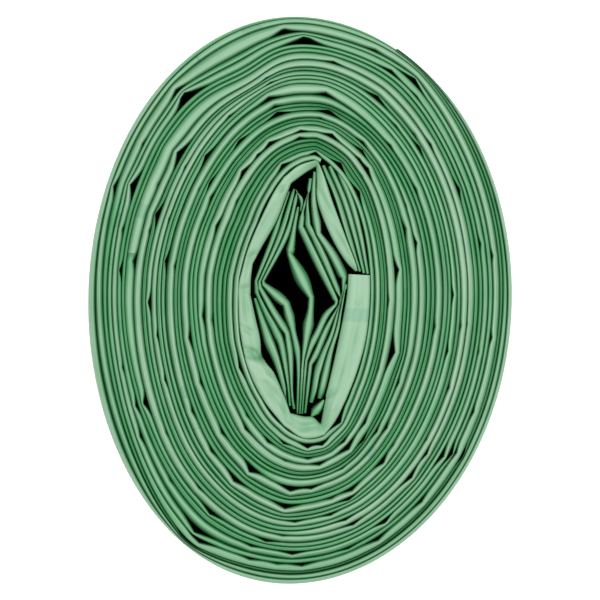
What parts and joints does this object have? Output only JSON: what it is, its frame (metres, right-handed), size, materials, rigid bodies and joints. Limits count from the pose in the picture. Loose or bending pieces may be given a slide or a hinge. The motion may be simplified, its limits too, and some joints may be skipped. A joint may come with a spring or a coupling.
{
  "type": "bin liner roll",
  "caption": "Coreless roll of folded thin film sacks, squashed to an oval with a collapsed centre, standing on one end, with a loose outer end.",
  "frame": {"origin": "centre of the roll's foot, on the surface it stands on", "axes": "+Z along the roll's axis, from the foot to the other end; +Y along the oval's long width; +X along its short width"},
  "size_m": [0.052, 0.0694, 0.1],
  "materials": {
    "film": "matt, faintly translucent pale green film"
  },
  "bodies": {
    "roll": {"sack_01": "film", "sack_02": "film", "sack_03": "film", "sack_04": "film", "sack_05": "film", "sack_06": "film", "sack_07": "film", "sack_08": "film", "sack_09": "film", "sack_10": "film", "sack_11": "film", "sack_12": "film"},
    "free_end": {"sack_12_free_end": "film"}
  },
  "joints": [
    {"name": "free_end_lift", "type": "hinge", "parent": "roll", "child": "free_end", "pos_m": [0.02555, 0.00753, 0.05], "axis": [0, 0, -1], "range_deg": [0, 60]}
  ]
}
